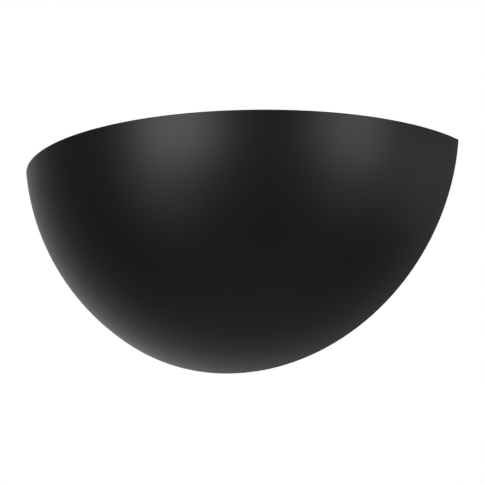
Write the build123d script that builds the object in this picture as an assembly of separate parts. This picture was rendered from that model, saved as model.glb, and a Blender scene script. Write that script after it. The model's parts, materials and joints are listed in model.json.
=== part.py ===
from build123d import *
import math
import os

# A half bowl wall light, in millimetres. The wall is the plane y = 0, the room is towards -Y and
# +Z is up. The origin lies on the wall, midway between the two wall screws.

# Bowl: a piece of a sphere, cut by the wall and by the level rim
BOWL_WIDTH = 300.0
BOWL_DEPTH = 132.0
BOWL_HEIGHT = 135.0
BOWL_SHEET = 1.2
RIM_HEIGHT = 58.0
RIM_ROUNDING = 0.4

# A rounding takes at most this share of its wall, and a cutter is this many sheets deep
ROUNDING_SHARE = 0.48
CUT_DEPTH = 4.0

# Wall bracket: a strap with two hooks bent out of its top edge
STRAP_END = 6.0
STRAP_WIDTH = 30.0
STRAP_SHEET = 1.5
STRAP_CORNER = 5.0
SLOT_SPACING = 80.0
SLOT_LENGTH = 15.0
SLOT_WIDTH = 5.0
CABLE_HOLE_RADIUS = 10.0
HOOK_SPACING = 120.0
HOOK_WIDTH = 12.0
HOOK_RISE = 10.0
HOOK_PLATE_GAP = 0.4

# Back plate: hangs on the hooks and closes the back of the bowl
PLATE_STANDOFF = 8.0
PLATE_SHEET = 1.2
PLATE_EDGE_GAP = 0.3
PLATE_BELOW_RIM = 6.0
FOLD_WALL_GAP = 0.5
FOLD_END_INSET = 14.0
WINDOW_SIDE_GAP = 2.0
WINDOW_HEIGHT_GAP = 1.5

# Tabs welded inside the bowl, which the plate is screwed to
TAB_ANGLES = (-62.0, -22.0, 22.0, 62.0)
TAB_WIDTH = 14.0
TAB_LEG = 15.0
TAB_REACH = 14.0
TAB_SHEET = 1.2
TAB_WELD_GAP = 0.05
TAB_HOLE_INSET = 8.0

# Metric screws and nuts
THREAD_GAP = 0.05
CLEARANCE_GAP = 0.25
M4_RADIUS = 2.0
M4_HEAD_RADIUS = 3.75
M4_HEAD_HEIGHT = 2.6
M4_NUT_FLATS = 7.0
M4_NUT_HEIGHT = 3.2
SCREW_TIP = 1.5
RECESS_WIDTH = 0.9
RECESS_LENGTH = 4.4
RECESS_DEPTH = 1.3
RECESS_HEAD_SHARE = 0.7
HEAD_ROUNDING = 0.9

# Grommet in the plate, where the supply comes in
GROMMET_BORE_RADIUS = 4.0
GROMMET_NECK_RADIUS = 6.9
GROMMET_FLANGE_RADIUS = 9.0
GROMMET_FLANGE = 2.4
GROMMET_HOLE_GAP = 0.1
GROMMET_ROUNDING = 0.8

# Place of the lamp, which lies level across the bowl
LAMP_PLATE_GAP = 13.0
LAMP_RIM_GAP = 12.0
ARM_BOWL_GAP = 17.0

# Arm that carries the lampholder
ARM_SHEET = 2.0
ARM_WIDTH = 26.0
ARM_BEND = 2.0
ARM_FLANGE = 24.0
ARM_SCREW_INSET = 10.0
ARM_SCREW_SPACING = 14.0
ARM_END_ROUNDING = 12.5

# Hollow nipple between arm and lampholder
NIPPLE_RADIUS = 5.0
NIPPLE_WALL = 1.25
NIPPLE_IN_CAP = 9.0
NIPPLE_PROUD = 2.0
NIPPLE_NUT_FLATS = 14.0
NIPPLE_NUT_HEIGHT = 4.0
NIPPLE_WASHER_RADIUS = 8.0
NIPPLE_WASHER_SHEET = 1.0

# Lampholder
HOLDER_WALL = 2.1
HOLDER_GAP = 0.2
HOLDER_EDGE = 1.0
CAP_MOUTH_DEPTH = 6.0
CAP_BOSS_RADIUS = 9.0
CAP_BOSS_LENGTH = 3.0
CAP_DOME_LENGTH = 15.0
CAP_SEAT = 20.0
CAP_SHOULDER = 1.3
CAP_FLOOR = 8.0
CORE_RIM = 0.7
CORE_LENGTH = 10.0
SLEEVE_TAIL_WALL = 1.4
SLEEVE_LIP = 3.0
SLEEVE_LAMP_GAP = 0.5
SLEEVE_GRIP_COUNT = 36
SLEEVE_GRIP_DEPTH = 0.7
SLEEVE_GRIP_WIDTH = 1.2
SLEEVE_GRIP_MARGIN = 5.0
SHELL_WALL = 1.2
CONTACT_SHEET = 0.6
CONTACT_WIDTH = 6.0
CONTACT_FOOT = 8.0
CONTACT_RISE = 4.1
CONTACT_TONGUE = 11.0

# Round thread of the lamp cap
LAMP_THREAD_PITCH = 3.629
LAMP_THREAD_RADIUS = 12.6
LAMP_THREAD_WAVE = 0.5
LAMP_THREAD_GAP = 0.3
LAMP_THREAD_LENGTH = 18.0
CIRCLES_PER_TURN = 8

# Lamp
LAMP_CONTACT_GAP = 0.2
LAMP_CONTACT_RADIUS = 5.5
LAMP_CONTACT_HEIGHT = 1.5
INSULATOR_HEIGHT = 3.2
INSULATOR_INSET = 0.7
INSULATOR_STEP = 1.6
INSULATOR_PLUG = 2.0
LAMP_CAP_WALL = 0.9
LAMP_CAP_FLOOR = 0.8
COLLAR_RISE = 0.8
COLLAR_LENGTH = 1.0
COLLAR_GAP = 0.5
LAMP_FIT_GAP = 0.1
SPIGOT_LENGTH = 8.0
HOUSING_STEP = 0.6
HOUSING_LENGTH = 41.0
HOUSING_START_SLOPE = 0.13
HOUSING_WALL = 1.8
BULB_RADIUS = 30.0
GLOBE_SEAM_OFFSET = 10.8
GLOBE_WALL = 1.5
BOARD_SHEET = 1.6
BOARD_POCKET_WALL = 3.5
BOARD_BELOW_SEAM = 3.5
BOARD_LEDGE = 2.0
BOARD_EDGE_GAP = 0.5
CHIP_COUNT = 8
CHIP_SIZE = 3.5
CHIP_CORNER = 0.4
CHIP_HEIGHT = 0.7
CHIP_CIRCLE_RADIUS = 15.0
DRIVER_SIDE_GAP = 0.3
DRIVER_LENGTH = 30.0
DRIVER_SHEET = 1.6

# Terminal block, placed by its rise above the bowl's inner face
BLOCK_X = -30.0
BLOCK_RISE = 45.0
BLOCK_LENGTH = 16.0
BLOCK_DEPTH = 12.0
BLOCK_END = 5.5
BLOCK_ROUNDING = 1.0
BLOCK_GROOVE = 1.2
BLOCK_WEB = 0.35
CLAMP_LEAD_GAP = 0.4
CLAMP_WALL = 1.1
CLAMP_INSET = 1.0
CLAMP_GAP = 0.1
CLAMP_SCREW_RADIUS = 1.2
CLAMP_SCREW_SPREAD = 8.0
CLAMP_SCREW_SUNK = 0.2
CLAMP_SCREW_SLOT = 0.5
BLOCK_SCREW_RADIUS = 1.4
BLOCK_SCREW_HEAD_RADIUS = 1.9
BLOCK_SCREW_HEAD_HEIGHT = 1.6
BLOCK_SCREW_SUNK = 5.0
BLOCK_SCREW_TIP = 2.0

# Earth stud, placed by its rise above the bowl's inner face
EARTH_X = -74.0
EARTH_RISE = 14.5
EARTH_WASHER_RADIUS = 4.5
EARTH_WASHER_SHEET = 0.6
LUG_SHEET = 0.8
LUG_RADIUS = 4.0
LUG_NECK_WIDTH = 4.0
LUG_BARREL_START = 6.0
LUG_BARREL_LENGTH = 7.0
LUG_BARREL_WALL = 0.8

# Inner leads
LEAD_RADIUS = 1.1
LEAD_CORE_RADIUS = 0.75
LEAD_STRIP = 4.0
LEAD_IN_CLAMP = 1.0
LEAD_LEAVE = 6.0
LEAD_HOLE_GAP = 0.2
LEAD_HOLE_DEPTH = 3.0
LEAD_WEB = 0.6
LEAD_ARC_SHARE = 0.45
LIVE_FROM_BLOCK = ((-13.0, -0.8, 1.0), (-33.0, -5.3, 4.5))
LIVE_FROM_NIPPLE = ((-1.7, 19.2, -20.5), (-12.2, 8.2, -17.5), (-16.7, 2.2, -7.0))
NEUTRAL_FROM_BLOCK = ((-13.0, -0.3, 2.0), (-34.0, -6.8, 6.5))
NEUTRAL_FROM_NIPPLE = ((-3.2, 16.2, -25.5), (-12.2, 4.7, -18.5), (-15.7, -1.8, -8.0))
EARTH_FROM_BLOCK = ((-7.0, 0.6, -3.0),)
NIPPLE_LEAD_IN = 9.0
EARTH_LEAD_IN = 4.0

# Sphere that the bowl is cut from
half_width = BOWL_WIDTH / 2
sphere_back = (half_width**2 - BOWL_DEPTH**2) / (2 * BOWL_DEPTH)
sphere_rise = (half_width**2 - BOWL_HEIGHT**2) / (2 * BOWL_HEIGHT)
sphere_radius = math.sqrt(half_width**2 + sphere_back**2 + sphere_rise**2)
sphere_z = RIM_HEIGHT + sphere_rise
inner_radius = sphere_radius - BOWL_SHEET

# Levels of the plate, seen from the wall into the room
plate_back = -PLATE_STANDOFF
plate_front = plate_back - PLATE_SHEET
plate_top = RIM_HEIGHT - PLATE_BELOW_RIM
hook_level = STRAP_WIDTH / 2
strap_length = HOOK_SPACING + HOOK_WIDTH + 2 * STRAP_END


def section_radius(y):
    """Radius of the bowl's inner face in the upright plane at y."""
    return math.sqrt(inner_radius**2 - (y - sphere_back) ** 2)


def reach_x(y, z):
    """Half width of the bowl's inside at one depth and height."""
    return math.sqrt(inner_radius**2 - (y - sphere_back) ** 2 - (z - sphere_z) ** 2)


def bowl_level(x):
    """Height of the bowl's inner face at x, where the plate's front meets it."""
    return sphere_z - math.sqrt(section_radius(plate_front) ** 2 - x**2)


# Place of the lamp axis, which runs along X; s is the distance along it from the arm's inner face
lamp_y = plate_front - LAMP_PLATE_GAP - BULB_RADIUS
lamp_z = RIM_HEIGHT - LAMP_RIM_GAP - BULB_RADIUS
arm_face = ARM_BOWL_GAP - reach_x(lamp_y - ARM_WIDTH / 2, lamp_z - ARM_WIDTH / 2)
arm_back = arm_face - ARM_SHEET
lamp_plane = Plane(origin=(arm_face, lamp_y, lamp_z), x_dir=(1, 0, 0), z_dir=(0, -1, 0))
lamp_axis = Axis((arm_face, lamp_y, lamp_z), (1, 0, 0))

# Radii of the lampholder, each set by the piece inside it
thread_crest = LAMP_THREAD_RADIUS + LAMP_THREAD_WAVE
thread_root = LAMP_THREAD_RADIUS - LAMP_THREAD_WAVE
shell_bore_radius = LAMP_THREAD_RADIUS + LAMP_THREAD_GAP
shell_radius = thread_crest + LAMP_THREAD_GAP + SHELL_WALL
core_radius = shell_radius + CORE_RIM
sleeve_bore_radius = core_radius + HOLDER_GAP
sleeve_tail_radius = sleeve_bore_radius + SLEEVE_TAIL_WALL
cap_mouth_radius = sleeve_tail_radius + HOLDER_GAP / 2
holder_radius = sleeve_tail_radius + HOLDER_WALL
collar_radius = thread_crest + COLLAR_RISE
lip_bore_radius = collar_radius - LAMP_FIT_GAP
nipple_bore_radius = NIPPLE_RADIUS - NIPPLE_WALL

# Radii of the lamp
lamp_cap_bore_radius = thread_root - LAMP_CAP_WALL
insulator_radius = lamp_cap_bore_radius - INSULATOR_INSET
insulator_plug_radius = insulator_radius - INSULATOR_STEP
spigot_radius = lamp_cap_bore_radius - LAMP_FIT_GAP
neck_bore_radius = spigot_radius - HOUSING_WALL
seam_radius = math.sqrt(BULB_RADIUS**2 - GLOBE_SEAM_OFFSET**2)
board_pocket_radius = seam_radius - BOARD_POCKET_WALL
board_radius = board_pocket_radius - BOARD_EDGE_GAP

# Stations along the lamp axis
nipple_washer_back = -ARM_SHEET - NIPPLE_WASHER_SHEET
nipple_nut_back = nipple_washer_back - NIPPLE_NUT_HEIGHT
nipple_back = nipple_nut_back - NIPPLE_PROUD
cap_length = CAP_SEAT + CAP_MOUTH_DEPTH
core_front = CAP_SEAT + CORE_LENGTH
lamp_foot = core_front + CONTACT_RISE + LAMP_CONTACT_GAP
insulator_start = lamp_foot + LAMP_CONTACT_HEIGHT
thread_start = insulator_start + INSULATOR_HEIGHT
thread_end = thread_start + LAMP_THREAD_LENGTH
collar_start = thread_end + COLLAR_GAP
collar_end = collar_start + COLLAR_LENGTH
sleeve_end = collar_start - SLEEVE_LAMP_GAP
lip_start = sleeve_end - SLEEVE_LIP
seam = collar_end + HOUSING_LENGTH
globe_centre = seam + GLOBE_SEAM_OFFSET
board_level = seam - BOARD_BELOW_SEAM

# Lead holes: two stand side by side in the core, and one is the bore of the earth lug
lead_hole_radius = LEAD_RADIUS + LEAD_HOLE_GAP
lead_offset = lead_hole_radius + LEAD_WEB / 2

# Screw places on the plate
tab_hole_radius = section_radius(plate_front) - TAB_HOLE_INSET
arm_screw_x = arm_back - ARM_FLANGE + ARM_SCREW_INSET
arm_screw_levels = (lamp_z - ARM_SCREW_SPACING / 2, lamp_z + ARM_SCREW_SPACING / 2)
grommet_hole_radius = GROMMET_NECK_RADIUS + GROMMET_HOLE_GAP

# Terminal block: each clamp takes a lead, and a fixing screw stands between two clamps
clamp_bore_radius = LEAD_RADIUS + CLAMP_LEAD_GAP
clamp_radius = clamp_bore_radius + CLAMP_WALL
clamp_hole_radius = clamp_radius + CLAMP_GAP
clamp_length = BLOCK_LENGTH - 2 * CLAMP_INSET
block_well_radius = BLOCK_SCREW_HEAD_RADIUS + THREAD_GAP
pole_pitch = 2 * (clamp_hole_radius + block_well_radius + BLOCK_WEB)
block_z = bowl_level(BLOCK_X) + BLOCK_RISE
pole_levels = (block_z + pole_pitch, block_z, block_z - pole_pitch)
block_screw_levels = (block_z - pole_pitch / 2, block_z + pole_pitch / 2)
block_front = plate_front - BLOCK_DEPTH
wire_y = plate_front - BLOCK_DEPTH / 2
clamp_left = BLOCK_X - clamp_length / 2
clamp_screw_places = (BLOCK_X - CLAMP_SCREW_SPREAD / 2, BLOCK_X + CLAMP_SCREW_SPREAD / 2)

# Earth stud: plate, washer, lug and screw head, with a nut behind the plate
lug_back = plate_front - EARTH_WASHER_SHEET
lug_front = lug_back - LUG_SHEET
lug_barrel_radius = lead_hole_radius + LUG_BARREL_WALL
lug_barrel_y = lug_back - lug_barrel_radius
lug_barrel_x = EARTH_X + LUG_BARREL_START
earth_z = bowl_level(EARTH_X) + EARTH_RISE


def facing(y):
    """Sketch plane at depth y with X to the right and Z up; it extrudes into the room."""
    return Plane(origin=(0, y, 0), x_dir=(1, 0, 0), z_dir=(0, -1, 0))


def turned(*points):
    """Solid turned about the lamp axis from an outline of (s, radius) points."""
    return revolve(lamp_plane * make_face(Polyline(*points, close=True)), axis=lamp_axis)


def lamp_disc(s):
    """Sketch plane square to the lamp axis at s; it extrudes towards the lamp's tip."""
    return Plane(origin=(arm_face + s, lamp_y, lamp_z), x_dir=(0, 1, 0), z_dir=(1, 0, 0))


def pan_screw(radius, length, head_radius, head_height):
    """Pan head screw with a cross recess: shank along +Z from the head's seat at z = 0."""
    head = Pos(0, 0, -head_height / 2) * Cylinder(head_radius, head_height)
    outer_edge = head.edges().sort_by(Axis.Z)[0]
    head = fillet(outer_edge, min(HEAD_ROUNDING, ROUNDING_SHARE * head_height))
    recess = min(RECESS_LENGTH, 2 * RECESS_HEAD_SHARE * head_radius)
    for turn in (0, 90):
        slot = Rot(0, 0, turn) * Box(recess, RECESS_WIDTH, RECESS_DEPTH)
        head -= Pos(0, 0, RECESS_DEPTH / 2 - head_height) * slot
    return head + Pos(0, 0, length / 2) * Cylinder(radius, length)


def hex_nut(flats, height, hole_radius):
    """Hexagon nut with its seat at z = 0, rising along +Z."""
    blank = RegularPolygon(flats / 2, 6, major_radius=False) - Circle(hole_radius)
    return extrude(blank, height)


def knuckle_thread(radius, start, end):
    """Round thread: equal circles whose centres go round a small circle, one turn in a pitch."""
    steps = math.ceil((end - start) / LAMP_THREAD_PITCH * CIRCLES_PER_TURN)
    circles = []
    for step in range(steps + 1):
        s = start + (end - start) * step / steps
        phase = 2 * math.pi * s / LAMP_THREAD_PITCH
        across = LAMP_THREAD_WAVE * math.cos(phase)
        up = LAMP_THREAD_WAVE * math.sin(phase)
        circles.append(lamp_disc(s) * Pos(across, up) * Circle(radius))
    return loft(circles)


def lead_tube(points, name):
    """Insulated lead on straight runs and arcs, each arc as large as its two runs allow."""
    radii = []
    for before, corner, after in zip(points, points[1:], points[2:]):
        run_in = Vector(*corner) - Vector(*before)
        run_out = Vector(*after) - Vector(*corner)
        half_turn = math.radians(run_in.get_angle(run_out)) / 2
        shorter_run = min(run_in.length, run_out.length)
        radii.append(LEAD_ARC_SHARE * shorter_run / math.tan(half_turn))
    path = FilletPolyline(*points, radius=radii)
    section = Plane(origin=path @ 0, z_dir=path % 0) * Circle(LEAD_RADIUS)
    tube = sweep(section, path=path)
    expected = math.pi * LEAD_RADIUS**2 * path.length
    print(name, "radii", [round(radius, 1) for radius in radii])
    print(name, "length", round(path.length, 1), "volume share", round(tube.volume / expected, 4))
    return tube


# Bowl
def make_bowl_shell():
    centre = Pos(0, sphere_back, sphere_z)
    shell = centre * Sphere(sphere_radius) - centre * Sphere(inner_radius)
    reach = 2 * sphere_radius
    shell = shell & (Pos(0, -reach / 2, RIM_HEIGHT - reach / 2) * Box(reach, reach, reach))
    rim = shell.faces().sort_by(Axis.Z)[-1]
    return fillet(rim.edges().filter_by(GeomType.CIRCLE), min(RIM_ROUNDING, ROUNDING_SHARE * BOWL_SHEET))


def tab_plane(angle):
    """Plane on the plate's front: x radially out at the angle from straight down, z into the room."""
    turn = math.radians(angle)
    outward = (math.sin(turn), 0, -math.cos(turn))
    return Plane(origin=(0, plate_front, sphere_z), x_dir=outward, z_dir=(0, -1, 0))


def make_bowl_fixing_tabs():
    tabs = []
    centre = Pos(0, sphere_back, sphere_z)
    weld_radius = inner_radius - TAB_WELD_GAP
    skin = centre * Sphere(weld_radius) - centre * Sphere(weld_radius - TAB_SHEET)
    edge = section_radius(plate_front)
    for angle in TAB_ANGLES:
        plane = tab_plane(angle)
        leg = plane * Pos(edge, 0, TAB_REACH / 2) * Box(2 * TAB_LEG, TAB_WIDTH, TAB_REACH)
        foot = plane * Pos(edge - TAB_LEG / 2, 0, TAB_SHEET / 2) * Box(TAB_LEG, TAB_WIDTH, TAB_SHEET)
        tab = (skin & leg) + (foot & (centre * Sphere(weld_radius)))
        hole = plane * Pos(tab_hole_radius, 0, 0) * Cylinder(M4_RADIUS, CUT_DEPTH * TAB_SHEET)
        tabs.append(tab - hole)
    return tabs


# Back plate
def make_back_plate():
    radius = section_radius(plate_front) - PLATE_EDGE_GAP
    below_top = Pos(0, plate_top - sphere_radius) * Rectangle(4 * sphere_radius, 2 * sphere_radius)
    outline = (Pos(0, sphere_z) * Circle(radius)) & below_top
    outline -= Circle(grommet_hole_radius)
    window_width = HOOK_WIDTH + 2 * WINDOW_SIDE_GAP
    window_height = HOOK_RISE + STRAP_SHEET + WINDOW_HEIGHT_GAP
    for side in (-1, 1):
        place = Pos(side * HOOK_SPACING / 2, hook_level - window_height / 2)
        outline -= place * Rectangle(window_width, window_height)
    for level in arm_screw_levels:
        outline -= Pos(arm_screw_x, level) * Circle(M4_RADIUS + CLEARANCE_GAP)
    for level in block_screw_levels:
        outline -= Pos(BLOCK_X, level) * Circle(BLOCK_SCREW_RADIUS + THREAD_GAP)
    outline -= Pos(EARTH_X, earth_z) * Circle(M4_RADIUS + CLEARANCE_GAP)
    plate = extrude(facing(plate_back) * outline, PLATE_SHEET)
    for angle in TAB_ANGLES:
        hole = Cylinder(M4_RADIUS + CLEARANCE_GAP, CUT_DEPTH * PLATE_SHEET)
        plate -= tab_plane(angle) * Pos(tab_hole_radius, 0, 0) * hole
    fold_half = math.sqrt(radius**2 - (sphere_z - plate_top) ** 2) - FOLD_END_INSET
    fold_reach = PLATE_STANDOFF - FOLD_WALL_GAP
    fold_middle = plate_back + fold_reach / 2
    fold = Pos(0, fold_middle, plate_top - PLATE_SHEET / 2) * Box(2 * fold_half, fold_reach, PLATE_SHEET)
    return plate + fold


def make_plate_screws():
    length = PLATE_SHEET + TAB_SHEET + SCREW_TIP
    screw = pan_screw(M4_RADIUS - THREAD_GAP, length, M4_HEAD_RADIUS, M4_HEAD_HEIGHT)
    screws = []
    for angle in TAB_ANGLES:
        screws.append(tab_plane(angle) * Pos(tab_hole_radius, 0, -PLATE_SHEET) * screw)
    return screws


# Wall bracket
def make_wall_bracket():
    strap = RectangleRounded(strap_length, STRAP_WIDTH, STRAP_CORNER) - Circle(CABLE_HOLE_RADIUS)
    for side in (-1, 1):
        strap -= Pos(side * SLOT_SPACING / 2, 0) * SlotOverall(SLOT_LENGTH, SLOT_WIDTH)
    bracket = extrude(facing(0) * strap, STRAP_SHEET)
    level = hook_level - STRAP_SHEET / 2
    hook_front = plate_front - HOOK_PLATE_GAP - STRAP_SHEET / 2
    hook_bend = HOOK_PLATE_GAP + STRAP_SHEET / 2
    for side in (-1, 1):
        x = side * HOOK_SPACING / 2
        path = FilletPolyline(
            (x, -STRAP_SHEET / 2, level),
            (x, hook_front, level),
            (x, hook_front, hook_level + HOOK_RISE),
            radius=hook_bend,
        )
        section = Plane(origin=path @ 0, x_dir=(1, 0, 0), z_dir=path % 0)
        bracket += sweep(section * Rectangle(HOOK_WIDTH, STRAP_SHEET), path=path)
    return bracket


# Grommet
def make_cable_grommet():
    length = PLATE_SHEET + 2 * GROMMET_FLANGE
    flange = extrude(Circle(GROMMET_FLANGE_RADIUS), GROMMET_FLANGE)
    flange = fillet(flange.edges().sort_by(Axis.Z)[-1], GROMMET_ROUNDING)
    neck = extrude(Circle(GROMMET_NECK_RADIUS), -PLATE_SHEET)
    other = Pos(0, 0, -PLATE_SHEET) * Rot(180, 0, 0) * flange
    bore = Pos(0, 0, -PLATE_SHEET / 2) * Cylinder(GROMMET_BORE_RADIUS, 2 * length)
    return facing(plate_front) * (flange + neck + other - bore)


# Arm
def make_lampholder_arm():
    middle_y = plate_front - ARM_SHEET / 2
    middle_x = arm_face - ARM_SHEET / 2
    path = FilletPolyline(
        (arm_back - ARM_FLANGE, middle_y, lamp_z),
        (middle_x, middle_y, lamp_z),
        (middle_x, lamp_y - ARM_WIDTH / 2, lamp_z),
        radius=ARM_BEND + ARM_SHEET / 2,
    )
    section = Plane(origin=path @ 0, x_dir=(0, 0, 1), z_dir=path % 0)
    arm = sweep(section * Rectangle(ARM_WIDTH, ARM_SHEET), path=path)
    end_edges = arm.edges().filter_by(Axis.X).group_by(Axis.Y)[0]
    arm = fillet(end_edges, min(ARM_END_ROUNDING, ROUNDING_SHARE * ARM_WIDTH))
    arm -= lamp_disc(0) * Cylinder(NIPPLE_RADIUS + CLEARANCE_GAP, CUT_DEPTH * ARM_SHEET)
    for level in arm_screw_levels:
        hole = Cylinder(M4_RADIUS + CLEARANCE_GAP, CUT_DEPTH * ARM_SHEET)
        arm -= facing(plate_front) * Pos(arm_screw_x, level) * hole
    return arm


def make_arm_screws():
    length = ARM_SHEET + PLATE_SHEET + M4_NUT_HEIGHT + SCREW_TIP
    screw = pan_screw(M4_RADIUS - THREAD_GAP, length, M4_HEAD_RADIUS, M4_HEAD_HEIGHT)
    seat = facing(plate_front - ARM_SHEET)
    return [seat * Pos(arm_screw_x, level) * Rot(180, 0, 0) * screw for level in arm_screw_levels]


def make_arm_nuts():
    nut = Rot(180, 0, 0) * hex_nut(M4_NUT_FLATS, M4_NUT_HEIGHT, M4_RADIUS)
    return [facing(plate_back) * Pos(arm_screw_x, level) * nut for level in arm_screw_levels]


# Nipple, its washer and its nut
def make_lampholder_nipple():
    ring = Circle(NIPPLE_RADIUS) - Circle(nipple_bore_radius)
    return extrude(lamp_disc(nipple_back) * ring, NIPPLE_IN_CAP - nipple_back)


def make_nipple_washer():
    ring = Circle(NIPPLE_WASHER_RADIUS) - Circle(NIPPLE_RADIUS + CLEARANCE_GAP)
    return extrude(lamp_disc(nipple_washer_back) * ring, NIPPLE_WASHER_SHEET)


def make_nipple_nut():
    nut = hex_nut(NIPPLE_NUT_FLATS, NIPPLE_NUT_HEIGHT, NIPPLE_RADIUS + THREAD_GAP)
    return lamp_disc(nipple_nut_back) * nut


# Lampholder
def make_lampholder_cap():
    bore = NIPPLE_RADIUS + THREAD_GAP
    cavity_radius = core_radius - CAP_SHOULDER
    dome_end = CAP_BOSS_LENGTH + CAP_DOME_LENGTH
    inside = Polyline(
        (dome_end, holder_radius),
        (cap_length, holder_radius),
        (cap_length, cap_mouth_radius),
        (CAP_SEAT, cap_mouth_radius),
        (CAP_SEAT, cavity_radius),
        (CAP_SEAT - HOLDER_EDGE, cavity_radius),
        (CAP_FLOOR, bore + HOLDER_EDGE),
        (CAP_FLOOR, bore),
        (0, bore),
        (0, CAP_BOSS_RADIUS),
        (CAP_BOSS_LENGTH, CAP_BOSS_RADIUS),
    )
    dome = TangentArc((dome_end, holder_radius), (CAP_BOSS_LENGTH, CAP_BOSS_RADIUS), tangent=(-1, 0))
    return revolve(lamp_plane * make_face([*inside.edges(), dome]), axis=lamp_axis)


def make_lampholder_core():
    core = extrude(lamp_disc(CAP_SEAT) * Circle(core_radius), CORE_LENGTH)
    for side in (-1, 1):
        hole = Pos(side * lead_offset, 0) * Circle(lead_hole_radius)
        core -= extrude(lamp_disc(CAP_SEAT) * hole, LEAD_HOLE_DEPTH)
    return core


def make_lampholder_sleeve():
    tube = turned(
        (CAP_SEAT + HOLDER_GAP, sleeve_bore_radius),
        (CAP_SEAT + HOLDER_GAP, sleeve_tail_radius),
        (cap_length, sleeve_tail_radius),
        (cap_length, holder_radius),
        (sleeve_end - HOLDER_EDGE, holder_radius),
        (sleeve_end, holder_radius - HOLDER_EDGE),
        (sleeve_end, lip_bore_radius),
        (lip_start, lip_bore_radius),
        (lip_start, sleeve_bore_radius),
    )
    grip_start = cap_length + SLEEVE_GRIP_MARGIN
    grip_length = sleeve_end - SLEEVE_GRIP_MARGIN - grip_start
    groove = Rectangle(2 * SLEEVE_GRIP_DEPTH, SLEEVE_GRIP_WIDTH)
    grooves = Sketch(children=PolarLocations(holder_radius, SLEEVE_GRIP_COUNT) * groove)
    return tube - extrude(lamp_disc(grip_start) * grooves, grip_length)


def make_lampholder_screw_shell():
    blank = extrude(lamp_disc(core_front) * Circle(shell_radius), lip_start - core_front)
    margin = LAMP_THREAD_PITCH / 2
    return blank - knuckle_thread(shell_bore_radius, core_front - margin, lip_start + margin)


def make_lampholder_contact():
    level = core_front + CONTACT_SHEET / 2
    top = core_front + CONTACT_RISE - CONTACT_SHEET / 2
    path = Polyline(
        (level, -CONTACT_FOOT),
        (level, -CONTACT_FOOT / 2),
        (top, 0),
        (top, CONTACT_TONGUE - CONTACT_FOOT),
    )
    path = lamp_plane * path
    section = Plane(origin=path @ 0, x_dir=(0, 1, 0), z_dir=path % 0)
    return sweep(section * Rectangle(CONTACT_WIDTH, CONTACT_SHEET), path=path, transition=Transition.RIGHT)


# Lamp
def make_bulb_contact():
    return turned(
        (lamp_foot, 0),
        (lamp_foot, LAMP_CONTACT_RADIUS - LAMP_CONTACT_HEIGHT / 2),
        (lamp_foot + LAMP_CONTACT_HEIGHT / 2, LAMP_CONTACT_RADIUS),
        (insulator_start, LAMP_CONTACT_RADIUS),
        (insulator_start, 0),
    )


def make_bulb_insulator():
    return turned(
        (insulator_start, 0),
        (insulator_start, LAMP_CONTACT_RADIUS),
        (thread_start, insulator_radius),
        (thread_start, insulator_plug_radius),
        (thread_start + INSULATOR_PLUG, insulator_plug_radius),
        (thread_start + INSULATOR_PLUG, 0),
    )


def make_bulb_cap():
    cap = knuckle_thread(LAMP_THREAD_RADIUS, thread_start, thread_end)
    neck_radius = thread_root - LAMP_CAP_WALL / 2
    cap += turned(
        (thread_start, 0),
        (thread_start, neck_radius),
        (thread_end, neck_radius),
        (collar_start, collar_radius),
        (collar_end, collar_radius),
        (collar_end, 0),
    )
    cap -= turned(
        (thread_start + LAMP_CAP_FLOOR, 0),
        (thread_start + LAMP_CAP_FLOOR, lamp_cap_bore_radius),
        (collar_end, lamp_cap_bore_radius),
        (collar_end, 0),
    )
    hole = Circle(insulator_plug_radius + LAMP_FIT_GAP)
    return cap - extrude(lamp_disc(thread_start) * hole, LAMP_CAP_FLOOR)


def make_bulb_housing():
    seam_slope = GLOBE_SEAM_OFFSET / seam_radius
    start_radius = collar_radius + HOUSING_STEP
    flank = Spline(
        (collar_end, start_radius),
        (seam, seam_radius),
        tangents=[(1, HOUSING_START_SLOPE), (1, seam_slope)],
    )
    ledge = board_radius - BOARD_LEDGE
    rest = Polyline(
        (seam, seam_radius),
        (seam, board_pocket_radius),
        (board_level, board_pocket_radius),
        (board_level, ledge),
        (board_level - BOARD_LEDGE, ledge),
        (collar_end + SPIGOT_LENGTH, neck_bore_radius),
        (collar_end - SPIGOT_LENGTH, neck_bore_radius),
        (collar_end - SPIGOT_LENGTH, spigot_radius),
        (collar_end, spigot_radius),
        (collar_end, start_radius),
    )
    return revolve(lamp_plane * make_face([flank, *rest.edges()]), axis=lamp_axis)


def make_bulb_globe():
    centre = Pos(arm_face + globe_centre, lamp_y, lamp_z)
    globe = centre * Sphere(BULB_RADIUS) - centre * Sphere(BULB_RADIUS - GLOBE_WALL)
    beyond_seam = extrude(lamp_disc(seam) * Circle(2 * BULB_RADIUS), 4 * BULB_RADIUS)
    return globe & beyond_seam


def make_bulb_led_board():
    return extrude(lamp_disc(board_level) * Circle(board_radius), BOARD_SHEET)


def make_bulb_led_chips():
    chip = extrude(RectangleRounded(CHIP_SIZE, CHIP_SIZE, CHIP_CORNER), CHIP_HEIGHT)
    top = lamp_disc(board_level + BOARD_SHEET)
    return [top * place * chip for place in PolarLocations(CHIP_CIRCLE_RADIUS, CHIP_COUNT)]


def make_bulb_driver_board():
    width = 2 * (neck_bore_radius - DRIVER_SIDE_GAP)
    return extrude(lamp_disc(board_level) * Rectangle(DRIVER_SHEET, width), -DRIVER_LENGTH)


# Terminal block
def along_x(x, y, z):
    """Sketch plane at a point, square to X; it extrudes along +X."""
    return Plane(origin=(x, y, z), x_dir=(0, 1, 0), z_dir=(1, 0, 0))


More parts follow.
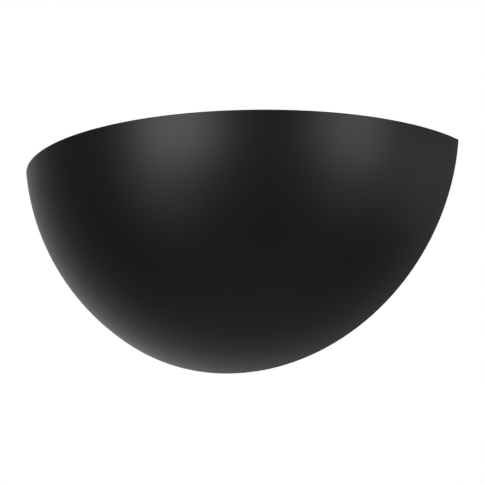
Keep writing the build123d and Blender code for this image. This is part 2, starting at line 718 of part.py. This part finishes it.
def make_terminal_block():
    height = 2 * (pole_pitch + BLOCK_END)
    outline = Pos(BLOCK_X, block_z) * RectangleRounded(BLOCK_LENGTH, height, BLOCK_ROUNDING)
    block = extrude(facing(plate_front) * outline, BLOCK_DEPTH)
    front = facing(block_front)
    for level in pole_levels:
        hole = Circle(clamp_hole_radius)
        block -= extrude(along_x(BLOCK_X - BLOCK_LENGTH, wire_y, level) * hole, 2 * BLOCK_LENGTH)
        for x in clamp_screw_places:
            well = Circle(CLAMP_SCREW_RADIUS + CLEARANCE_GAP)
            block -= extrude(front * Pos(x, level) * well, -BLOCK_DEPTH / 2)
    for level in block_screw_levels:
        groove = Rectangle(2 * BLOCK_LENGTH, BLOCK_GROOVE)
        block -= extrude(front * Pos(BLOCK_X, level) * groove, -BLOCK_GROOVE)
        hole = Circle(BLOCK_SCREW_RADIUS + THREAD_GAP)
        block -= extrude(front * Pos(BLOCK_X, level) * hole, -BLOCK_DEPTH)
        well = Circle(block_well_radius)
        block -= extrude(front * Pos(BLOCK_X, level) * well, -BLOCK_SCREW_SUNK)
    return block


def make_terminal_clamps():
    clamps = []
    for level in pole_levels:
        ring = Circle(clamp_radius) - Circle(clamp_bore_radius)
        clamp = extrude(along_x(clamp_left, wire_y, level) * ring, clamp_length)
        for x in clamp_screw_places:
            hole = Circle(CLAMP_SCREW_RADIUS + THREAD_GAP)
            clamp -= extrude(facing(wire_y) * Pos(x, level) * hole, 2 * clamp_radius)
        clamps.append(clamp)
    return clamps


def make_terminal_screws():
    tip = wire_y - LEAD_CORE_RADIUS - THREAD_GAP
    length = tip - block_front - CLAMP_SCREW_SUNK
    screw = extrude(Circle(CLAMP_SCREW_RADIUS), length)
    slot = Box(4 * CLAMP_SCREW_RADIUS, CLAMP_SCREW_SLOT, 2 * CLAMP_SCREW_SLOT)
    screw -= Pos(0, 0, length) * slot
    return [facing(tip) * Pos(x, level) * screw for level in pole_levels for x in clamp_screw_places]


def make_terminal_block_screws():
    length = BLOCK_DEPTH - BLOCK_SCREW_SUNK + PLATE_SHEET + BLOCK_SCREW_TIP
    screw = pan_screw(BLOCK_SCREW_RADIUS, length, BLOCK_SCREW_HEAD_RADIUS, BLOCK_SCREW_HEAD_HEIGHT)
    seat = facing(block_front + BLOCK_SCREW_SUNK)
    return [seat * Pos(BLOCK_X, level) * Rot(180, 0, 0) * screw for level in block_screw_levels]


# Earth stud
def make_earth_screw():
    length = LUG_SHEET + EARTH_WASHER_SHEET + PLATE_SHEET + M4_NUT_HEIGHT + SCREW_TIP
    screw = pan_screw(M4_RADIUS - THREAD_GAP, length, M4_HEAD_RADIUS, M4_HEAD_HEIGHT)
    return facing(lug_front) * Pos(EARTH_X, earth_z) * Rot(180, 0, 0) * screw


def make_earth_nut():
    nut = hex_nut(M4_NUT_FLATS, M4_NUT_HEIGHT, M4_RADIUS)
    return facing(plate_back) * Pos(EARTH_X, earth_z) * Rot(180, 0, 0) * nut


def make_earth_washer():
    ring = Circle(EARTH_WASHER_RADIUS) - Circle(M4_RADIUS + CLEARANCE_GAP)
    return extrude(facing(plate_front) * Pos(EARTH_X, earth_z) * ring, EARTH_WASHER_SHEET)


def make_earth_lug():
    neck_length = LUG_BARREL_START + LUG_BARREL_LENGTH / 2
    outline = Circle(LUG_RADIUS) + Pos(neck_length / 2, 0) * Rectangle(neck_length, LUG_NECK_WIDTH)
    outline -= Circle(M4_RADIUS + CLEARANCE_GAP)
    lug = extrude(facing(lug_back) * Pos(EARTH_X, earth_z) * outline, LUG_SHEET)
    barrel_plane = along_x(lug_barrel_x, lug_barrel_y, earth_z)
    lug += extrude(barrel_plane * Circle(lug_barrel_radius), LUG_BARREL_LENGTH)
    return lug - extrude(barrel_plane * Circle(lead_hole_radius), LUG_BARREL_LENGTH)


# Leads
def points_from(place, steps):
    """Points at these steps from a place."""
    x, y, z = place
    return [(x + across, y + along, z + up) for across, along, up in steps]


def lead_from_block(level, from_block, points, name):
    """Lead that leaves one pole of the block, with its bare end under the clamp screw."""
    start = (clamp_left + LEAD_IN_CLAMP, wire_y, level)
    bare_end = extrude(along_x(*start) * Circle(LEAD_CORE_RADIUS), LEAD_STRIP)
    clear_of_block = (clamp_left - LEAD_LEAVE, wire_y, level)
    route = [start, clear_of_block, *points_from(clear_of_block, from_block), *points]
    return lead_tube(route, name) + bare_end


def lampholder_lead(level, from_block, from_nipple, side, name):
    """Lead from the block round the arm and through the nipple into the core."""
    nipple_end = (arm_face + nipple_back, lamp_y, lamp_z)
    y = lamp_y + side * lead_offset
    mouth = (arm_face + nipple_back - NIPPLE_LEAD_IN, y, lamp_z)
    end = (arm_face + CAP_SEAT + LEAD_HOLE_DEPTH - LEAD_HOLE_GAP, y, lamp_z)
    return lead_from_block(level, from_block, [*points_from(nipple_end, from_nipple), mouth, end], name)


def make_live_lead():
    return lampholder_lead(pole_levels[0], LIVE_FROM_BLOCK, LIVE_FROM_NIPPLE, 1, "live_lead")


def make_neutral_lead():
    return lampholder_lead(pole_levels[1], NEUTRAL_FROM_BLOCK, NEUTRAL_FROM_NIPPLE, -1, "neutral_lead")


def make_earth_lead():
    mouth = (lug_barrel_x + LUG_BARREL_LENGTH + EARTH_LEAD_IN, lug_barrel_y, earth_z)
    end = (lug_barrel_x + LEAD_HOLE_GAP, lug_barrel_y, earth_z)
    return lead_from_block(pole_levels[2], EARTH_FROM_BLOCK, [mouth, end], "earth_lead")


def save(name, shape):
    """Writes one node; a list of separate solids goes into one node."""
    if isinstance(shape, list):
        shape = Compound(children=shape)
    export_step(shape, f"parts/{name}.step")


os.makedirs("parts", exist_ok=True)
save("wall_bracket", make_wall_bracket())
save("bowl_shell", make_bowl_shell())
save("bowl_fixing_tabs", make_bowl_fixing_tabs())
save("back_plate", make_back_plate())
save("plate_screws", make_plate_screws())
save("cable_grommet", make_cable_grommet())
save("lampholder_arm", make_lampholder_arm())
save("arm_screws", make_arm_screws())
save("arm_nuts", make_arm_nuts())
save("lampholder_nipple", make_lampholder_nipple())
save("nipple_washer", make_nipple_washer())
save("nipple_nut", make_nipple_nut())
save("lampholder_cap", make_lampholder_cap())
save("lampholder_core", make_lampholder_core())
save("lampholder_sleeve", make_lampholder_sleeve())
save("lampholder_screw_shell", make_lampholder_screw_shell())
save("lampholder_contact", make_lampholder_contact())
save("bulb_contact", make_bulb_contact())
save("bulb_insulator", make_bulb_insulator())
save("bulb_cap", make_bulb_cap())
save("bulb_housing", make_bulb_housing())
save("bulb_globe", make_bulb_globe())
save("bulb_led_board", make_bulb_led_board())
save("bulb_led_chips", make_bulb_led_chips())
save("bulb_driver_board", make_bulb_driver_board())
save("terminal_block", make_terminal_block())
save("terminal_clamps", make_terminal_clamps())
save("terminal_screws", make_terminal_screws())
save("terminal_block_screws", make_terminal_block_screws())
save("earth_screw", make_earth_screw())
save("earth_nut", make_earth_nut())
save("earth_washer", make_earth_washer())
save("earth_lug", make_earth_lug())
save("earth_lead", make_earth_lead())
save("live_lead", make_live_lead())
save("neutral_lead", make_neutral_lead())
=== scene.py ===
import json
import math

import bmesh
import bpy
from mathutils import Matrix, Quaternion, Vector


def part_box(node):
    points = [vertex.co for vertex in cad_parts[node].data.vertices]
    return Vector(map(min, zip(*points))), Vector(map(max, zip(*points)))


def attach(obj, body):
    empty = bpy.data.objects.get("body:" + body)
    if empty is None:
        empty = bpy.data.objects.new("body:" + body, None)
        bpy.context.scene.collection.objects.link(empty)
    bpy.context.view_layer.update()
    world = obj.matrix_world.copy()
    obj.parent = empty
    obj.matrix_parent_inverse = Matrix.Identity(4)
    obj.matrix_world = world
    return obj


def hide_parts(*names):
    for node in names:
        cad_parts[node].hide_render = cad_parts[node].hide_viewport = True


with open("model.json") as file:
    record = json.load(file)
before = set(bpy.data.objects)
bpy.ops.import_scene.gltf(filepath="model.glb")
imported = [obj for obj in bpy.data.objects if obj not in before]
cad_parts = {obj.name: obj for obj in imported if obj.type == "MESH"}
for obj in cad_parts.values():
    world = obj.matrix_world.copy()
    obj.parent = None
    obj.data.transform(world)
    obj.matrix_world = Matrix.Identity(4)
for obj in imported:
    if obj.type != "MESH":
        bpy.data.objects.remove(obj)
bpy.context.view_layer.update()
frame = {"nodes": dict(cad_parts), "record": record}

# Bowl: a piece of a sphere, cut by the wall and by the level rim
BOWL_WIDTH = 0.300
BOWL_DEPTH = 0.132
BOWL_HEIGHT = 0.135
BOWL_SHEET = 0.0012
RIM_ROUNDING = 0.0004
RIM_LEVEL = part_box("bowl_shell")[1].z

# Fineness of the bowl's mesh, where points nearer to each other than the last value become one
BOWL_STEPS_AROUND = 192
BOWL_STEPS_UP = 96
RIM_STEPS = 4
MERGE_DISTANCE = 0.0000004

# Lamp globe: a round shell about the lamp's axis, and the fineness of its mesh
GLOBE_WALL = 0.0015
GLOBE_STEPS_AROUND = 96
GLOBE_STEPS_ALONG = 48

# Edges that turn by more than this are sharp
SHARP_ANGLE = math.radians(40)

# Camera, set to the photograph's view and its square frame
CAMERA_TARGET = Vector((0.0306, -0.06495, RIM_LEVEL - 0.06598))
CAMERA_DISTANCE = 1.3
CAMERA_AZIMUTH = 26.04
CAMERA_ELEVATION = -13.31
CAMERA_ROLL = -0.545
CAMERA_LENS = 157.45
SENSOR_WIDTH = 36.0

# Studio: a softbox each side of the camera, with a dim panel under each, one softbox overhead, one behind
# and a dim one at the right, over a pale round floor that fades out at its edge. A white backdrop stands
# behind the object, and the room in front of it is dim.
LIGHT_DISTANCE = 1.6
FLOOR_LEVEL = -2.2
FLOOR_RADIUS = 3.2
FLOOR_FADES_FROM = 1.2
FLOOR_FORWARD = 0.9
FLOOR_STEPS = 96
AMBIENT = 0.25
ROOM_COLOUR = (0.18, 0.18, 0.18)

# The room turns into the backdrop between two cosines of the angle from the backdrop's middle
BACKDROP_AZIMUTH = 195
ROOM_UP_TO = 0.25
BACKDROP_FROM = 1.0

# Colours of the light
WHITE = (1.0, 1.0, 1.0)
COOL_WHITE = (0.98, 0.945, 1.0)
WARM_WHITE = (1.0, 0.955, 0.925)

# Noise: its values mostly lie between the first two, and clouds have more fine detail than grain
NOISE_LOW = 0.3
NOISE_HIGH = 0.7
CLOUD_DETAIL = 4.0
GRAIN_DETAIL = 2.0
UNSTRETCHED = (1.0, 1.0, 1.0)

# Stripe of the earth lead: its colour, and how squarely its surface has to face along Y
STRIPE_COLOUR = (0.72, 0.56, 0.03)
STRIPE_FACING = 0.75

# Sphere through the rim's two corners on the wall, its front and the bowl's foot on the wall
half_width = BOWL_WIDTH / 2
sphere_back = (half_width**2 - BOWL_DEPTH**2) / (2 * BOWL_DEPTH)
sphere_above_rim = (half_width**2 - BOWL_HEIGHT**2) / (2 * BOWL_HEIGHT)
sphere_z = RIM_LEVEL + sphere_above_rim
sphere_radius = math.sqrt(half_width**2 + sphere_back**2 + sphere_above_rim**2)


def direction(azimuth, elevation):
    """Unit vector at an azimuth from the front towards +X and an elevation, both in degrees."""
    turn = math.radians(azimuth)
    rise = math.radians(elevation)
    return Vector((math.sin(turn) * math.cos(rise), -math.cos(turn) * math.cos(rise), math.sin(rise)))


# Procedural finishes
def add_noise(tree, patch, detail, stretch=UNSTRETCHED):
    """Noise with patches about this many metres across, drawn out along X, Y and Z by the stretch."""
    place = tree.nodes.new("ShaderNodeTexCoord")
    mapping = tree.nodes.new("ShaderNodeMapping")
    mapping.inputs["Scale"].default_value = [1 / (patch * draw) for draw in stretch]
    noise = tree.nodes.new("ShaderNodeTexNoise")
    noise.inputs["Scale"].default_value = 1.0
    noise.inputs["Detail"].default_value = detail
    tree.links.new(place.outputs["Object"], mapping.inputs["Vector"])
    tree.links.new(mapping.outputs["Vector"], noise.inputs["Vector"])
    return noise.outputs["Fac"]


def add_range(tree, value, low, high):
    """The value, spread from its usual range to this one."""
    spread = tree.nodes.new("ShaderNodeMapRange")
    spread.inputs["From Min"].default_value = NOISE_LOW
    spread.inputs["From Max"].default_value = NOISE_HIGH
    spread.inputs["To Min"].default_value = low
    spread.inputs["To Max"].default_value = high
    tree.links.new(value, spread.inputs["Value"])
    return spread.outputs["Result"]


def add_ramp(tree, value, first, second, low=NOISE_LOW, high=NOISE_HIGH):
    """A colour that goes from the first to the second as the value goes from low to high."""
    ramp = tree.nodes.new("ShaderNodeValToRGB")
    start, end = ramp.color_ramp.elements
    start.position = low
    start.color = (*first, 1.0)
    end.position = high
    end.color = (*second, 1.0)
    tree.links.new(value, ramp.inputs["Fac"])
    return ramp.outputs["Color"]


def add_relief(tree, value, height):
    """A bumpy normal whose bumps are this many metres high."""
    bump = tree.nodes.new("ShaderNodeBump")
    bump.inputs["Distance"].default_value = height
    tree.links.new(value, bump.inputs["Height"])
    return bump.outputs["Normal"]


def add_mix(tree, share, first, second):
    """The first shader where the share is 0 and the second where it is 1."""
    mix = tree.nodes.new("ShaderNodeMixShader")
    tree.links.new(share, mix.inputs[0])
    tree.links.new(first, mix.inputs[1])
    tree.links.new(second, mix.inputs[2])
    return mix.outputs["Shader"]


def finish(
    name, tones, patch, grain, roughness, relief, metallic=0.0, specular=0.5, stretch=UNSTRETCHED
):
    """A surface whose tone drifts over patches, with a fine grain in its roughness and its relief."""
    material = bpy.data.materials.new(name)
    material.use_nodes = True
    tree = material.node_tree
    shader = tree.nodes["Principled BSDF"]
    shader.inputs["Metallic"].default_value = metallic
    shader.inputs["Specular IOR Level"].default_value = specular
    clouds = add_noise(tree, patch, CLOUD_DETAIL)
    fine = add_noise(tree, grain, GRAIN_DETAIL, stretch)
    tree.links.new(add_ramp(tree, clouds, *tones), shader.inputs["Base Color"])
    tree.links.new(add_range(tree, fine, *roughness), shader.inputs["Roughness"])
    tree.links.new(add_relief(tree, fine, relief), shader.inputs["Normal"])
    return material


def earth_lead_finish():
    """Green insulation with a yellow stripe along the front and the back of the lead."""
    material = finish(
        "earth_lead",
        tones=((0.085, 0.30, 0.025), (0.11, 0.34, 0.035)),
        patch=0.006,
        grain=0.0004,
        roughness=(0.38, 0.5),
        relief=0.00001,
    )
    tree = material.node_tree
    shader = tree.nodes["Principled BSDF"]
    green = shader.inputs["Base Color"].links[0].from_socket
    surface = tree.nodes.new("ShaderNodeNewGeometry")
    split = tree.nodes.new("ShaderNodeSeparateXYZ")
    facing = tree.nodes.new("ShaderNodeMath")
    facing.operation = "ABSOLUTE"
    stripe = tree.nodes.new("ShaderNodeMath")
    stripe.operation = "GREATER_THAN"
    stripe.inputs[1].default_value = STRIPE_FACING
    mix = tree.nodes.new("ShaderNodeMixRGB")
    mix.inputs["Color2"].default_value = (*STRIPE_COLOUR, 1.0)
    tree.links.new(surface.outputs["Normal"], split.inputs["Vector"])
    tree.links.new(split.outputs["Y"], facing.inputs[0])
    tree.links.new(facing.outputs["Value"], stripe.inputs[0])
    tree.links.new(stripe.outputs["Value"], mix.inputs["Fac"])
    tree.links.new(green, mix.inputs["Color1"])
    tree.links.new(mix.outputs["Color"], shader.inputs["Base Color"])
    return material


FINISHES = {
    "bowl_coat": finish(
        "bowl_coat",
        tones=((0.0018, 0.0017, 0.0018), (0.0024, 0.0022, 0.0024)),
        patch=0.06,
        grain=0.0009,
        roughness=(0.40, 0.44),
        relief=0.000004,
        specular=0.22,
    ),
    "white_paint": finish(
        "white_paint",
        tones=((0.77, 0.77, 0.75), (0.81, 0.81, 0.79)),
        patch=0.05,
        grain=0.0012,
        roughness=(0.38, 0.48),
        relief=0.00001,
    ),
    "zinc_plate": finish(
        "zinc_plate",
        tones=((0.56, 0.575, 0.59), (0.66, 0.665, 0.67)),
        patch=0.009,
        grain=0.0005,
        roughness=(0.26, 0.40),
        relief=0.000006,
        metallic=1.0,
        stretch=(10.0, 1.0, 1.0),
    ),
    "black_rubber": finish(
        "black_rubber",
        tones=((0.016, 0.016, 0.016), (0.026, 0.026, 0.025)),
        patch=0.004,
        grain=0.0003,
        roughness=(0.68, 0.82),
        relief=0.00002,
    ),
    "holder_plastic": finish(
        "holder_plastic",
        tones=((0.76, 0.75, 0.72), (0.80, 0.79, 0.76)),
        patch=0.03,
        grain=0.0004,
        roughness=(0.30, 0.38),
        relief=0.000008,
    ),
    "steatite": finish(
        "steatite",
        tones=((0.74, 0.70, 0.62), (0.83, 0.80, 0.73)),
        patch=0.002,
        grain=0.0003,
        roughness=(0.55, 0.72),
        relief=0.00002,
    ),
    "nickel_plate": finish(
        "nickel_plate",
        tones=((0.61, 0.585, 0.54), (0.69, 0.67, 0.63)),
        patch=0.010,
        grain=0.0004,
        roughness=(0.20, 0.32),
        relief=0.000004,
        metallic=1.0,
        stretch=(1.0, 6.0, 6.0),
    ),
    "bare_brass": finish(
        "bare_brass",
        tones=((0.66, 0.48, 0.21), (0.78, 0.61, 0.31)),
        patch=0.006,
        grain=0.0004,
        roughness=(0.24, 0.38),
        relief=0.000005,
        metallic=1.0,
    ),
    "black_glass": finish(
        "black_glass",
        tones=((0.012, 0.012, 0.015), (0.018, 0.018, 0.021)),
        patch=0.004,
        grain=0.0008,
        roughness=(0.06, 0.12),
        relief=0.000002,
    ),
    "lamp_white": finish(
        "lamp_white",
        tones=((0.80, 0.80, 0.79), (0.84, 0.84, 0.83)),
        patch=0.02,
        grain=0.0004,
        roughness=(0.34, 0.44),
        relief=0.000008,
    ),
    "opal": finish(
        "opal",
        tones=((0.86, 0.85, 0.82), (0.90, 0.89, 0.86)),
        patch=0.02,
        grain=0.0003,
        roughness=(0.42, 0.52),
        relief=0.000006,
    ),
    "board_white": finish(
        "board_white",
        tones=((0.77, 0.77, 0.77), (0.83, 0.83, 0.83)),
        patch=0.008,
        grain=0.0004,
        roughness=(0.35, 0.45),
        relief=0.000005,
    ),
    "board_green": finish(
        "board_green",
        tones=((0.02, 0.14, 0.05), (0.04, 0.21, 0.085)),
        patch=0.003,
        grain=0.0004,
        roughness=(0.30, 0.42),
        relief=0.00001,
    ),
    "phosphor": finish(
        "phosphor",
        tones=((0.76, 0.57, 0.09), (0.84, 0.67, 0.15)),
        patch=0.001,
        grain=0.0002,
        roughness=(0.55, 0.7),
        relief=0.00001,
    ),
    "block_plastic": finish(
        "block_plastic",
        tones=((0.75, 0.75, 0.70), (0.80, 0.80, 0.76)),
        patch=0.01,
        grain=0.0004,
        roughness=(0.42, 0.55),
        relief=0.00001,
    ),
    "brown_lead": finish(
        "brown_lead",
        tones=((0.085, 0.028, 0.012), (0.115, 0.042, 0.018)),
        patch=0.006,
        grain=0.0004,
        roughness=(0.38, 0.5),
        relief=0.00001,
    ),
    "blue_lead": finish(
        "blue_lead",
        tones=((0.016, 0.075, 0.34), (0.024, 0.105, 0.42)),
        patch=0.006,
        grain=0.0004,
        roughness=(0.38, 0.5),
        relief=0.00001,
    ),
    "earth_lead": earth_lead_finish(),
}


# Modelled pieces
def add_piece(name, bm, body, node, finishes):
    """Makes the faces a smooth piece that rides on the body and stands for the node."""
    bmesh.ops.recalc_face_normals(bm, faces=bm.faces)
    mesh = bpy.data.meshes.new(name)
    bm.to_mesh(mesh)
    bm.free()
    mesh.shade_smooth()
    mesh.set_sharp_from_angle(angle=SHARP_ANGLE)
    for slot in finishes:
        mesh.materials.append(FINISHES[slot])
    piece = bpy.data.objects.new(name, mesh)
    bpy.context.scene.collection.objects.link(piece)
    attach(piece, body)
    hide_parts(node)


# Bowl
def bowl_sections():
    """(radius, height) of each level row of the bowl: up the outside, over the rim and down the inside."""
    below_rounding = sphere_z - RIM_LEVEL + RIM_ROUNDING
    sections = {}
    for side, radius in (("outside", sphere_radius), ("inside", sphere_radius - BOWL_SHEET)):
        lowest = math.asin(sphere_back / radius)
        highest = math.acos(below_rounding / radius)
        angles = [lowest + (highest - lowest) * step / BOWL_STEPS_UP for step in range(BOWL_STEPS_UP)]
        # A row close under the rounding keeps the shading of the sphere up to the rim
        angles += [highest - RIM_ROUNDING / radius, highest]
        sections[side] = [
            (radius * math.sin(angle), sphere_z - radius * math.cos(angle)) for angle in angles
        ]
    rounding = {}
    for side, outward in (("outside", 1), ("inside", -1)):
        middle = sections[side][-1][0] - outward * RIM_ROUNDING
        rows = []
        for step in range(1, RIM_STEPS + 1):
            angle = math.pi / 2 * step / RIM_STEPS
            level = RIM_LEVEL - RIM_ROUNDING + RIM_ROUNDING * math.sin(angle)
            rows.append((middle + outward * RIM_ROUNDING * math.cos(angle), level))
        rounding[side] = rows
    outside = sections["outside"] + rounding["outside"]
    inside = sections["inside"] + rounding["inside"]
    return outside + inside[::-1]


def bowl_row(bm, radius, height):
    """Vertices at one height, from the wall on the left round the front to the wall on the right."""
    half_turn = math.acos(min(1.0, sphere_back / radius))
    row = []
    for step in range(BOWL_STEPS_AROUND + 1):
        angle = half_turn * (2 * step / BOWL_STEPS_AROUND - 1)
        place = (radius * math.sin(angle), sphere_back - radius * math.cos(angle), height)
        row.append(bm.verts.new(place))
    return row


def make_bowl():
    """The bowl, coated black outside and over the rim, and white inside."""
    bm = bmesh.new()
    rows = [bowl_row(bm, radius, height) for radius, height in bowl_sections()]
    half = len(rows) // 2
    for number, (lower, upper) in enumerate(zip(rows, rows[1:])):
        for step in range(BOWL_STEPS_AROUND):
            face = bm.faces.new((lower[step], lower[step + 1], upper[step + 1], upper[step]))
            face.material_index = int(number >= half)
    for end in (0, -1):
        for number in range(half - 1):
            outside, outside_next = rows[number][end], rows[number + 1][end]
            inside, inside_next = rows[-1 - number][end], rows[-2 - number][end]
            bm.faces.new((outside, outside_next, inside_next, inside))
    bmesh.ops.remove_doubles(bm, verts=bm.verts, dist=MERGE_DISTANCE)
    add_piece("bowl", bm, body="fixture", node="bowl_shell", finishes=("bowl_coat", "white_paint"))


# Lamp globe
def globe_ring(bm, middle, along, radius):
    """Vertices of a circle about the lamp's axis, this far along it from the globe's middle."""
    ring = []
    for step in range(GLOBE_STEPS_AROUND):
        angle = 2 * math.pi * step / GLOBE_STEPS_AROUND
        offset = Vector((along, radius * math.cos(angle), radius * math.sin(angle)))
        ring.append(bm.verts.new(middle + offset))
    return ring


def join_rings(bm, first, second):
    """Faces between two rings of the globe."""
    for step in range(GLOBE_STEPS_AROUND):
        bm.faces.new((first[step - 1], first[step], second[step], second[step - 1]))


def make_globe():
    """The lamp's opal globe, open where it sits on the housing."""
    low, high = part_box("bulb_globe")
    radius = (high.z - low.z) / 2
    middle = Vector((high.x - radius, (low.y + high.y) / 2, (low.z + high.z) / 2))
    seam = low.x - middle.x
    bm = bmesh.new()
    edges = []
    for face_radius in (radius, radius - GLOBE_WALL):
        widest = math.acos(seam / face_radius)
        rings = []
        for step in range(1, GLOBE_STEPS_ALONG + 1):
            angle = widest * step / GLOBE_STEPS_ALONG
            along = face_radius * math.cos(angle)
            rings.append(globe_ring(bm, middle, along, face_radius * math.sin(angle)))
        tip = bm.verts.new(middle + Vector((face_radius, 0, 0)))
        for step in range(GLOBE_STEPS_AROUND):
            bm.faces.new((tip, rings[0][step - 1], rings[0][step]))
        for first, second in zip(rings, rings[1:]):
            join_rings(bm, first, second)
        edges.append(rings[-1])
    join_rings(bm, *edges)
    add_piece("lamp_globe", bm, body="bulb", node="bulb_globe", finishes=("opal",))


def dress_nodes():
    """Gives each node of the frame the finish of its material slot."""
    for subpart in frame["record"]["subparts"]:
        node = frame["nodes"][subpart["node"]]
        node.data.materials.clear()
        node.data.materials.append(FINISHES[subpart["material_slot"]])


# Studio
def floor_finish():
    """Pale matt floor that turns clear towards its edge."""
    material = finish(
        "floor",
        tones=((0.79, 0.79, 0.785), (0.82, 0.82, 0.815)),
        patch=0.8,
        grain=0.004,
        roughness=(0.75, 0.85),
        relief=0.00005,
        specular=0.1,
    )
    tree = material.node_tree
    place = tree.nodes.new("ShaderNodeTexCoord")
    from_middle = tree.nodes.new("ShaderNodeVectorMath")
    from_middle.operation = "LENGTH"
    fade = tree.nodes.new("ShaderNodeMapRange")
    fade.interpolation_type = "SMOOTHSTEP"
    fade.inputs["From Min"].default_value = FLOOR_FADES_FROM
    fade.inputs["From Max"].default_value = FLOOR_RADIUS
    clear = tree.nodes.new("ShaderNodeBsdfTransparent")
    tree.links.new(place.outputs["Object"], from_middle.inputs[0])
    tree.links.new(from_middle.outputs["Value"], fade.inputs["Value"])
    solid = tree.nodes["Principled BSDF"].outputs["BSDF"]
    surface = add_mix(tree, fade.outputs["Result"], solid, clear.outputs["BSDF"])
    tree.links.new(surface, tree.nodes["Material Output"].inputs["Surface"])
    return material


def make_floor():
    """A round floor under the object and in front of it."""
    turns = [2 * math.pi * step / FLOOR_STEPS for step in range(FLOOR_STEPS)]
    places = [(FLOOR_RADIUS * math.cos(turn), FLOOR_RADIUS * math.sin(turn), 0) for turn in turns]
    mesh = bpy.data.meshes.new("floor")
    mesh.from_pydata(places, [], [range(FLOOR_STEPS)])
    mesh.materials.append(floor_finish())
    floor = bpy.data.objects.new("floor", mesh)
    floor.location = (0, -FLOOR_FORWARD, FLOOR_LEVEL)
    bpy.context.scene.collection.objects.link(floor)


def make_softbox(name, place, size, radiance, colour):
    """A rectangular light at an azimuth and elevation that faces the bowl, this bright to look at."""
    width, height = size
    light = bpy.data.lights.new(name, "AREA")
    light.shape = "RECTANGLE"
    light.size = width
    light.size_y = height
    light.energy = radiance * math.pi * width * height
    light.color = colour
    lamp = bpy.data.objects.new(name, light)
    away = direction(*place)
    lamp.location = away * LIGHT_DISTANCE
    lamp.rotation_mode = "QUATERNION"
    lamp.rotation_quaternion = away.to_track_quat("Z", "Y")
    bpy.context.scene.collection.objects.link(lamp)


def add_background(tree, strength):
    """Light of this strength from all round, white unless a colour is linked to it."""
    background = tree.nodes.new("ShaderNodeBackground")
    background.inputs["Color"].default_value = (*WHITE, 1.0)
    background.inputs["Strength"].default_value = strength
    return background


def make_world():
    """White to the camera, a backdrop and a dim room in what mirrors them, and an even fill on the rest."""
    world = bpy.data.worlds.new("studio")
    world.use_nodes = True
    tree = world.node_tree
    tree.nodes.clear()
    path = tree.nodes.new("ShaderNodeLightPath")
    mirrored = tree.nodes.new("ShaderNodeMath")
    mirrored.operation = "MAXIMUM"
    tree.links.new(path.outputs["Is Glossy Ray"], mirrored.inputs[0])
    tree.links.new(path.outputs["Is Transmission Ray"], mirrored.inputs[1])
    place = tree.nodes.new("ShaderNodeTexCoord")
    facing = tree.nodes.new("ShaderNodeVectorMath")
    facing.operation = "DOT_PRODUCT"
    facing.inputs[1].default_value = direction(BACKDROP_AZIMUTH, 0)
    tree.links.new(place.outputs["Generated"], facing.inputs[0])
    tones = add_ramp(tree, facing.outputs["Value"], ROOM_COLOUR, WHITE, ROOM_UP_TO, BACKDROP_FROM)
    fill = add_background(tree, AMBIENT)
    room = add_background(tree, 1.0)
    tree.links.new(tones, room.inputs["Color"])
    backdrop = add_background(tree, 1.0)
    light = add_mix(tree, mirrored.outputs["Value"], fill.outputs["Background"], room.outputs["Background"])
    light = add_mix(tree, path.outputs["Is Camera Ray"], light, backdrop.outputs["Background"])
    output = tree.nodes.new("ShaderNodeOutputWorld")
    tree.links.new(light, output.inputs["Surface"])
    bpy.context.scene.world = world


def make_camera():
    """A camera at the photograph's viewing angle."""
    data = bpy.data.cameras.new("camera")
    data.lens = CAMERA_LENS
    data.sensor_width = SENSOR_WIDTH
    camera = bpy.data.objects.new("camera", data)
    away = direction(CAMERA_AZIMUTH, CAMERA_ELEVATION)
    camera.location = CAMERA_TARGET + away * CAMERA_DISTANCE
    roll = Quaternion((0, 0, 1), math.radians(CAMERA_ROLL))
    camera.rotation_mode = "QUATERNION"
    camera.rotation_quaternion = away.to_track_quat("Z", "Y") @ roll
    bpy.context.scene.collection.objects.link(camera)
    bpy.context.scene.camera = camera


dress_nodes()
make_bowl()
make_globe()
make_floor()
make_softbox("left_softbox", place=(-10.2, 3), size=(0.95, 0.85), radiance=9.2, colour=COOL_WHITE)
make_softbox("left_panel", place=(-22, -24), size=(0.8, 0.7), radiance=1.8, colour=COOL_WHITE)
make_softbox("right_softbox", place=(71.3, 3), size=(0.88, 0.85), radiance=6.5, colour=WARM_WHITE)
make_softbox("right_panel", place=(75, -24), size=(0.7, 0.7), radiance=1.2, colour=COOL_WHITE)
make_softbox("side_softbox", place=(112, -6), size=(0.7, 1.0), radiance=1.4, colour=WARM_WHITE)
make_softbox("overhead_softbox", place=(0, 82), size=(0.8, 0.8), radiance=6, colour=COOL_WHITE)
make_softbox("rear_softbox", place=(172, 42), size=(0.7, 0.7), radiance=8, colour=WARM_WHITE)
make_world()
make_camera()
bpy.context.scene.view_settings.view_transform = "Standard"
